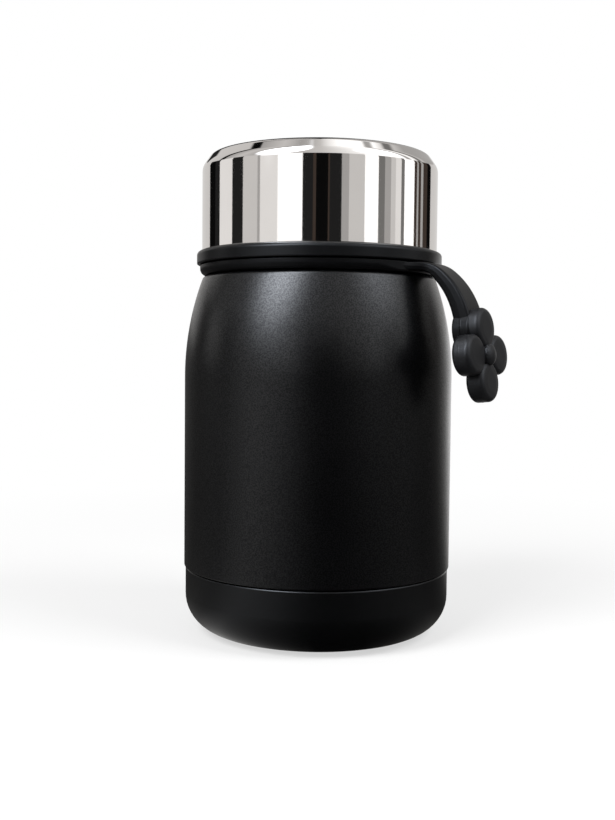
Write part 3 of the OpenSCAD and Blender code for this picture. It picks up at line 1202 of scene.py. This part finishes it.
    def _strap(self) -> Array:
        """Carries the strap's section along its face line.

        The section is flat above and below, and its sides meet in a fine ridge at mid thickness. At a
        station with outward direction n, P = face + n (t / 2)(v - 1) in the XZ plane and y = u w, where the
        thickness t grows away from the ring and w is half the width.

        Returns:
            The grid of points, with a pole at either end.
        """
        side, high = self.width / 2.0, self.thickness / 2.0
        face = side - self.draft
        section = Outline([
            Corner(face, high, self.strap_round), Corner(-face, high, self.strap_round), Corner(-side, 0.0),
            Corner(-face, -high, self.strap_round), Corner(face, -high, self.strap_round), Corner(side, 0.0),
        ]).points() / np.array([side, high])
        line, angle = self.face_line()
        steps = np.linalg.norm(np.diff(line, axis=0), axis=1)
        half_width = self._half_width(line[0, 0] + np.concatenate([[0.0], np.cumsum(steps)]))
        grown = self.root_thickness + (self.thickness - self.root_thickness) * ease(angle / self.end_angle)
        outward = np.stack([np.sin(angle), np.cos(angle)], axis=-1)
        depth = grown[:, None] / 2.0 * (section[None, :, 1] - 1.0)
        flat = line[:, None, :] + outward[:, None, :] * depth[..., None]
        across = half_width[:, None] * section[None, :, 0]
        grid = np.stack([flat[..., 0], across, flat[..., 1]], axis=-1)
        poles = grid.mean(axis=1, keepdims=True) + np.zeros_like(grid)
        return np.concatenate([poles[:1], grid, poles[-1:]])

    def _tab(self) -> Array:
        """Gives the round tab: a disc with rounded edges and a fine parting ridge round its middle.

        Returns:
            The grid of points, with a pole in either face.
        """
        radius, high, ridge = self.tab_radius, self.tab_thickness / 2.0, self.parting_width
        profile = Outline([
            Corner(0.0, -high),
            Corner(radius, -high, self.tab_round),
            Corner(radius, -ridge),
            Corner(radius + self.parting, 0.0),
            Corner(radius, ridge),
            Corner(radius, high, self.tab_round),
            Corner(0.0, high),
        ], closed=False).points()
        axes = self.tab_axes()
        middle = axes.origin - axes.z * self.tab_sink
        disc = carried_round(profile, circle(self.segments // 2))
        return Axes(middle, axes.x, axes.y, axes.z).place(disc)

    def build(self, effects: Effects) -> None:
        """Builds the ring, strap and tab as one moulding and dresses it.

        Args:
            effects: The shared effects.
        """
        # Painted shade: this silicone is a darker copy of the flower's, which shades the ring under the cap's
        # flange and the whole strap with it.
        silicone = Finish(
            "strap_silicone", (0.002, 0.002, 0.0022), (0.0028, 0.0028, 0.0031), specular=0.125, tint=COOL,
            roughness=0.32, patch_roughness=0.37, patch_size=6.0 * MM, grain_size=0.18 * MM,
            grain_depth=0.008 * MM,
        )
        skin = Skin().add(self._ring(), loop_rows=True).add(self._strap()).add(self._tab())
        seat(skin.build("neck_strap"), Body.STRAP, Slot.STRAP, silicone.material(effects), "strap_ring")


@dataclass
class Flower:
    """The silicone flower on the strap's tab: four drop-shaped petals round a domed middle."""

    strap: Strap
    petals: int = 4
    petal_radius: float = 4.6 * MM
    reach: float = 6.1 * MM
    thickness: float = 4.3 * MM
    rear_round: float = 0.9 * MM
    face_round: float = 1.2 * MM
    crown: float = 0.15 * MM
    parting_share: float = 0.42
    parting: float = 0.04 * MM
    parting_width: float = 0.12 * MM
    dome_radius: float = 2.45 * MM
    dome_height: float = 1.35 * MM
    dome_wall: float = 0.2 * MM
    post_share: float = 0.25
    tab_drop: float = 0.4 * MM
    arc_points: int = 97
    edge_points: int = 13
    dome_points: int = 25
    dome_segments: int = 96

    def axes(self) -> Axes:
        """Gives the flower's own axes.

        Returns:
            The middle of its rear plane, with x to the side, y up and z outwards.
        """
        tab = self.strap.tab_axes()
        middle = tab.origin - tab.z * self.strap.thickness / 2.0 - tab.y * (self.reach - self.tab_drop)
        return Axes(middle, tab.x, tab.y, tab.z)

    def _drop(self) -> Array:
        """Traces a drop of unit radius: an arc, and two lines tangent to it that meet in a point.

        The point lies at 1 / sin b behind the arc's middle, and the lines touch the arc at 90 degrees + b
        from its front, where sin b = petal radius / reach, so that the point falls on the flower's middle.

        Returns:
            Points of shape (n, 2), with the drop's front along +u.
        """
        half = math.asin(self.petal_radius / self.reach)
        angle = np.linspace(-math.pi / 2.0 - half, math.pi / 2.0 + half, self.arc_points)
        arc = np.stack([np.cos(angle), np.sin(angle)], axis=-1)
        point = np.array([-1.0 / math.sin(half), 0.0])
        share = np.linspace(0.0, 1.0, self.edge_points)[1:, None]
        away = arc[-1] + (point - arc[-1]) * share
        return np.concatenate([arc, away, away[-2::-1] * np.array([1.0, -1.0])])

    def _petals(self) -> list[Array]:
        """Gives the petals, turned round the flower's middle.

        Returns:
            A grid for each, in the flower's own axes, the first one upwards.
        """
        radius, high = self.petal_radius, self.thickness
        ridge, low = self.parting_width, self.thickness * self.parting_share
        profile = Outline([
            Corner(0.0, 0.0),
            Corner(radius, 0.0, self.rear_round),
            Corner(radius, low - ridge),
            Corner(radius + self.parting, low),
            Corner(radius, low + ridge),
            Corner(radius, high, self.face_round),
            Corner(radius / 2.0, high + self.crown, radius),
            Corner(0.0, high + self.crown),
        ], closed=False).points()
        petal = carried_round(profile, self._drop()) + np.array([self.reach, 0.0, 0.0])
        turns = math.pi / 2.0 + np.arange(self.petals) * TURN / self.petals
        return [petal @ np.array(Matrix.Rotation(-turn, 3, "Z")) for turn in turns]

    def _dome(self) -> Array:
        """Gives the domed middle: a short post under half an ellipse of revolution.

        Returns:
            The grid of points, in the flower's own axes.
        """
        rise = np.linspace(0.0, math.pi / 2.0, self.dome_points)
        base = self.thickness + self.dome_wall
        height = self.dome_height - self.dome_wall
        dome = np.stack([self.dome_radius * np.cos(rise), base + height * np.sin(rise)], axis=-1)
        dome[-1, 0] = 0.0
        foot = self.thickness * self.post_share
        post = np.array([[0.0, foot], [self.dome_radius, foot]])
        return carried_round(np.concatenate([post, dome]), circle(self.dome_segments))

    def build(self, effects: Effects) -> None:
        """Builds the petals and the dome as one moulding and dresses it.

        Args:
            effects: The shared effects.
        """
        # Painted light: this silicone is a lighter copy of the strap's, which lights the petals' faces.
        silicone = Finish(
            "flower_silicone", (0.005, 0.005, 0.0055), (0.0062, 0.0062, 0.0068), specular=0.285, tint=COOL,
            roughness=0.43, patch_roughness=0.48, patch_size=5.0 * MM, grain_size=0.18 * MM,
            grain_depth=0.008 * MM,
        )
        axes = self.axes()
        skin = Skin()
        for grid in [*self._petals(), self._dome()]:
            skin.add(axes.place(grid))
        seat(skin.build("flower"), Body.STRAP, Slot.FLOWER, silicone.material(effects), "flower_charm")


class Panel(Enum):
    """Kinds of panel round the studio, by their glow, where 1 is white paper."""

    WHITE = (1.6, 1.6, 1.6)
    PALE = (1.0, 0.985, 0.97)
    LIGHT = (0.75, 0.735, 0.72)
    GREY = (0.48, 0.47, 0.46)
    SOFT = (0.34, 0.335, 0.33)
    DIM = (0.22, 0.216, 0.21)
    FAINT = (0.1, 0.098, 0.096)
    BROWN = (0.06, 0.045, 0.037)
    DARK = (0.018, 0.018, 0.018)
    BLACK = (0.004, 0.004, 0.004)


class Blend(Enum):
    """How the panels of a row meet: each starts at its degree, or fades into the next one's."""

    STEP = "CONSTANT"
    FADE = "LINEAR"


@dataclass(frozen=True)
class Row:
    """A ring of panels round the mug, each with its degree, counted from the camera."""

    panels: Sequence[tuple[float, Panel]]
    blend: Blend

    def colour(self, graph: Graph, share: Value) -> bpy.types.NodeSocket:
        """Gives the row's glow.

        Args:
            graph: The graph to add to.
            share: Share of the full turn, which starts behind the mug.

        Returns:
            The glow.
        """
        node = graph.add("ShaderNodeValToRGB", {0: share})
        ramp = node.color_ramp
        ramp.interpolation = self.blend.value
        while len(ramp.elements) < len(self.panels):
            ramp.elements.new(1.0)
        for element, (degrees, panel) in zip(ramp.elements, self.panels):
            element.position = (degrees + 180.0) / 360.0
            element.color = opaque(panel.value)
        return node.outputs[0]


LOW_ROW = Row([
    (-180.0, Panel.SOFT), (-160.0, Panel.FAINT), (-120.0, Panel.FAINT), (-100.0, Panel.DIM),
    (-80.0, Panel.SOFT), (-56.0, Panel.PALE), (-42.0, Panel.LIGHT), (-25.0, Panel.SOFT),
    (-10.0, Panel.FAINT), (0.0, Panel.DARK), (22.0, Panel.DARK), (42.0, Panel.FAINT), (60.0, Panel.DIM),
    (76.0, Panel.DIM), (92.0, Panel.FAINT), (114.0, Panel.FAINT), (128.0, Panel.DIM), (140.0, Panel.LIGHT),
    (152.0, Panel.WHITE), (168.0, Panel.WHITE), (180.0, Panel.SOFT),
], Blend.FADE)
WALL_ROW = Row([
    (-180.0, Panel.LIGHT), (-134.0, Panel.BLACK), (-122.0, Panel.DARK), (-113.0, Panel.PALE),
    (-94.0, Panel.DARK), (-80.0, Panel.LIGHT), (-63.0, Panel.GREY), (-60.0, Panel.PALE),
    (-41.0, Panel.WHITE), (-18.0, Panel.DARK), (-8.0, Panel.BROWN), (-5.0, Panel.BLACK), (5.7, Panel.BROWN),
    (8.0, Panel.DARK), (19.6, Panel.GREY), (26.0, Panel.LIGHT), (41.0, Panel.WHITE), (55.0, Panel.DIM),
    (62.0, Panel.GREY), (69.0, Panel.LIGHT), (75.0, Panel.PALE), (82.0, Panel.DIM), (87.0, Panel.WHITE),
    (101.0, Panel.BROWN), (105.0, Panel.GREY), (108.0, Panel.BROWN), (112.0, Panel.GREY),
    (116.0, Panel.BROWN), (125.0, Panel.BLACK), (132.6, Panel.LIGHT),
], Blend.STEP)
HIGH_ROW = Row([
    (-180.0, Panel.DARK), (-152.0, Panel.DARK), (-150.0, Panel.LIGHT), (-117.0, Panel.LIGHT),
    (-116.0, Panel.BLACK), (-108.0, Panel.BLACK), (-107.0, Panel.GREY), (-85.0, Panel.LIGHT),
    (-60.0, Panel.GREY), (0.0, Panel.LIGHT), (60.0, Panel.WHITE), (90.0, Panel.WHITE), (93.0, Panel.GREY),
    (98.0, Panel.GREY), (101.0, Panel.WHITE), (108.0, Panel.PALE), (111.0, Panel.DIM), (116.0, Panel.DIM),
    (119.0, Panel.LIGHT), (128.0, Panel.GREY), (165.0, Panel.GREY), (168.0, Panel.DARK),
    (180.0, Panel.DARK),
], Blend.FADE)


@dataclass(frozen=True)
class Glow:
    """A soft oval lamp face that only reflections see, with its angles in degrees from the camera."""

    azimuth: float
    elevation: float
    width: float
    height: float
    lean: float
    strength: float
    core: float = 0.1

    def level(self, graph: Graph, azimuth: Value, elevation: Value) -> bpy.types.NodeSocket:
        """Gives the lamp face's glow.

        With u across and v up from its middle, as shares of its half width and half height, the glow falls
        smoothly from its strength at the core to nothing where u^2 + v^2 = 1. Its upright axis leans to the
        right by a share of the height.

        Args:
            graph: The graph to add to.
            azimuth: The direction's azimuth.
            elevation: The direction's elevation.

        Returns:
            The glow.
        """
        up = graph.math("SUBTRACT", elevation, self.elevation)
        along = graph.math("ADD", graph.math("MULTIPLY", up, self.lean), self.azimuth)
        u = graph.math("DIVIDE", graph.math("SUBTRACT", azimuth, along), self.width)
        v = graph.math("DIVIDE", up, self.height)
        return graph.math("MULTIPLY", graph.rise(graph.length(u, v), 1.0, self.core), self.strength)


KEY_GLOW = Glow(azimuth=-40.0, elevation=46.0, width=30.0, height=37.0, lean=0.28, strength=22.0)
SIDE_GLOW = Glow(azimuth=64.0, elevation=40.0, width=32.0, height=23.0, lean=0.0, strength=4.0)


@dataclass(frozen=True)
class SoftBox:
    """A square lamp that faces the mug, with its angles in degrees from the camera and the horizon."""

    name: str
    azimuth: float
    elevation: float
    radiance: float
    size: float = 0.42
    distance: float = 0.9
    aim_height: float = 60.0 * MM

    def hang(self, front: float) -> None:
        """Hangs the lamp. Reflections see a glow of the world in its place.

        A face of side s that is to have a radiance L takes a power of pi L s^2.

        Args:
            front: The camera's direction from the mug, as an angle round Z.
        """
        turn = math.radians(self.azimuth) + front
        rise = math.radians(self.elevation)
        way = Vector((math.cos(rise) * math.cos(turn), math.cos(rise) * math.sin(turn), math.sin(rise)))
        lamp = bpy.data.lights.new(self.name, "AREA")
        lamp.shape = "SQUARE"
        lamp.size = self.size
        lamp.energy = self.radiance * math.pi * self.size * self.size
        box = bpy.data.objects.new(self.name, lamp)
        middle = way * self.distance + Vector((0.0, 0.0, self.aim_height))
        box.matrix_world = Matrix.Translation(middle) @ way.to_track_quat("Z", "Y").to_matrix().to_4x4()
        box.visible_glossy = False
        bpy.context.scene.collection.objects.link(box)


KEY_BOX = SoftBox("key_box", azimuth=KEY_GLOW.azimuth, elevation=43.0, radiance=12.0)
SIDE_BOX = SoftBox("side_box", azimuth=SIDE_GLOW.azimuth, elevation=46.0, radiance=8.0)


@dataclass
class Studio:
    """A white studio: floor, soft boxes, panels that only reflections see, and the camera."""

    view_from: tuple[float, float, float] = (148.0 * MM, -224.0 * MM, 68.8 * MM)
    view_azimuth: float = math.radians(34.0)
    view_pitch: float = math.radians(-3.03)
    view_roll: float = math.radians(0.55)
    lens: float = 47.25
    sensor: float = 36.0
    nearest: float = 10.0 * MM
    wall_from: float = 4.5
    wall_to: float = 17.0
    row_edge: float = 1.0
    fill: Colour = (0.4, 0.4, 0.4)
    floor_rings: tuple[float, ...] = (0.0, 0.2, 0.6, 3.0)
    floor_segments: int = 96
    paper: Colour = (0.84, 0.84, 0.84)
    fibre: Colour = (0.87, 0.87, 0.87)
    fibre_scale: float = 900.0
    lift_span: tuple[float, float] = (0.06, 0.3)
    lift_least: float = 0.6
    # Painted shade of the floor in reflections: where its glow dims towards the mug, and how low it goes
    # there.
    painted_shade_span: tuple[float, float] = (0.0, 0.8)
    painted_shade_least: float = 0.65

    @property
    def front(self) -> float:
        """The camera's direction from the mug, as an angle round Z."""
        return self.view_azimuth - math.pi / 2.0

    def _share(self, graph: Graph, direction: Value) -> bpy.types.NodeSocket:
        """Gives the share of a full turn round the mug, which starts behind it as the camera sees it.

        Args:
            graph: The graph to add to.
            direction: The direction or place, of which only x and y count.

        Returns:
            The share.
        """
        x, y, _ = graph.parts(direction)
        turn = graph.math("DIVIDE", graph.math("SUBTRACT", graph.math("ARCTAN2", y, x), self.front), TURN)
        # Half a turn puts the start behind the mug, and a whole one keeps it positive for any front.
        return graph.math("FRACT", graph.math("ADD", turn, 1.5))

    def _above(self, graph: Graph, height: Value, degrees: float) -> bpy.types.NodeSocket:
        """Rises from 0 to 1 where a direction's height passes an elevation."""
        low, high = (math.sin(math.radians(degrees + side * self.row_edge)) for side in (-1.0, 1.0))
        return graph.rise(height, low, high)

    def _world(self) -> None:
        """Makes the surroundings: white to the camera, panels to reflections, a soft fill to the rest."""
        world = bpy.data.worlds.new("studio")
        world.use_nodes = True
        graph = Graph(world.node_tree)
        place = graph.add("ShaderNodeTexCoord").outputs["Generated"]
        path = graph.add("ShaderNodeLightPath").outputs
        height = graph.parts(place)[2]
        share = self._share(graph, place)
        rows = LOW_ROW.colour(graph, share)
        for row, degrees in ((WALL_ROW, self.wall_from), (HIGH_ROW, self.wall_to)):
            rows = graph.tint(self._above(graph, height, degrees), rows, row.colour(graph, share))
        azimuth = graph.math("SUBTRACT", graph.math("MULTIPLY", share, 360.0), 180.0)
        elevation = graph.math("MULTIPLY", graph.math("ARCSINE", height), math.degrees(1.0))
        for glow in (KEY_GLOW, SIDE_GLOW):
            lit = {0: glow.level(graph, azimuth, elevation), 1: COOL, 2: rows}
            rows = graph.add("ShaderNodeVectorMath", lit, operation="MULTIPLY_ADD").outputs[0]
        mirrored = graph.math("MAXIMUM", path["Is Glossy Ray"], path["Is Transmission Ray"])
        seen = graph.tint(mirrored, opaque(self.fill), rows)
        seen = graph.tint(path["Is Camera Ray"], seen, opaque(PLAIN))
        sky = graph.add("ShaderNodeBackground", {"Color": seen})
        graph.add("ShaderNodeOutputWorld", {0: sky.outputs[0]})
        bpy.context.scene.world = world

    def _paper(self) -> bpy.types.Material:
        """Makes the floor's pale paper. To the camera it glows a little; to reflections it is the low row,
        dimmed near the mug as painted shade.

        Returns:
            The material.
        """
        material = bpy.data.materials.new("floor_paper")
        material.use_nodes = True
        graph = Graph(material.node_tree)
        place = graph.place()
        path = graph.add("ShaderNodeLightPath").outputs
        fibre = graph.noise(place, self.fibre_scale, detail=3.0)
        paper = graph.tint(fibre, opaque(self.paper), opaque(self.fibre))
        matte = graph.add("ShaderNodeBsdfDiffuse", {"Color": paper}).outputs[0]
        far = graph.add("ShaderNodeVectorMath", {0: place}, operation="LENGTH").outputs[1]
        lift = graph.between(graph.rise(far, *self.lift_span), self.lift_least, 1.0)
        glow = graph.add("ShaderNodeEmission", {"Strength": 1.0}).outputs[0]
        white = graph.add("ShaderNodeMixShader", {0: lift, 1: matte, 2: glow}).outputs[0]
        row = LOW_ROW.colour(graph, self._share(graph, place))
        # Painted shade: to reflections the floor's glow dims towards the mug, standing in for its shadow
        # there.
        strength = graph.between(graph.rise(far, *self.painted_shade_span), self.painted_shade_least, 1.0)
        low = graph.add("ShaderNodeEmission", {"Color": row, "Strength": strength}).outputs[0]
        seen = graph.add("ShaderNodeMixShader", {0: path["Is Camera Ray"], 1: matte, 2: white}).outputs[0]
        seen = graph.add("ShaderNodeMixShader", {0: path["Is Glossy Ray"], 1: seen, 2: low}).outputs[0]
        graph.add("ShaderNodeOutputMaterial", {0: seen})
        return material

    def _floor(self) -> None:
        """Makes the floor, a wide disc under the mug."""
        rings = np.array(self.floor_rings)
        rows = np.stack([rings, np.zeros_like(rings)], axis=-1)
        floor = Skin().add(carried_round(rows, circle(self.floor_segments))).build("floor")
        floor.data.materials.append(self._paper())
        LOG.info("floor: %d faces", len(floor.data.polygons))

    def _camera(self) -> None:
        """Sets the camera at the photograph's place, angle and lens."""
        lens = bpy.data.cameras.new("camera")
        lens.lens = self.lens
        lens.sensor_width = self.sensor
        lens.clip_start = self.nearest
        camera = bpy.data.objects.new("camera", lens)
        level, turn = math.cos(self.view_pitch), self.view_azimuth
        ahead = Vector((-math.sin(turn) * level, math.cos(turn) * level, math.sin(self.view_pitch)))
        aim = ahead.to_track_quat("-Z", "Y").to_matrix().to_4x4()
        roll = Matrix.Rotation(self.view_roll, 4, "Z")
        camera.matrix_world = Matrix.Translation(self.view_from) @ aim @ roll
        bpy.context.scene.collection.objects.link(camera)
        bpy.context.scene.camera = camera

    def build(self) -> None:
        """Builds the whole studio."""
        bpy.context.scene.view_settings.view_transform = "Standard"
        self._world()
        self._floor()
        KEY_BOX.hang(self.front)
        SIDE_BOX.hang(self.front)
        self._camera()


def main() -> None:
    """Builds the mug's sub-assemblies in order, then the studio round them."""
    logging.basicConfig(level=logging.INFO, format="%(message)s")
    effects = Effects()
    strap = Strap()
    for assembly in (Vessel(), Foot(), Cap(), strap, Flower(strap)):
        assembly.build(effects)
    Studio().build()


if __name__ == "__main__":
    main()
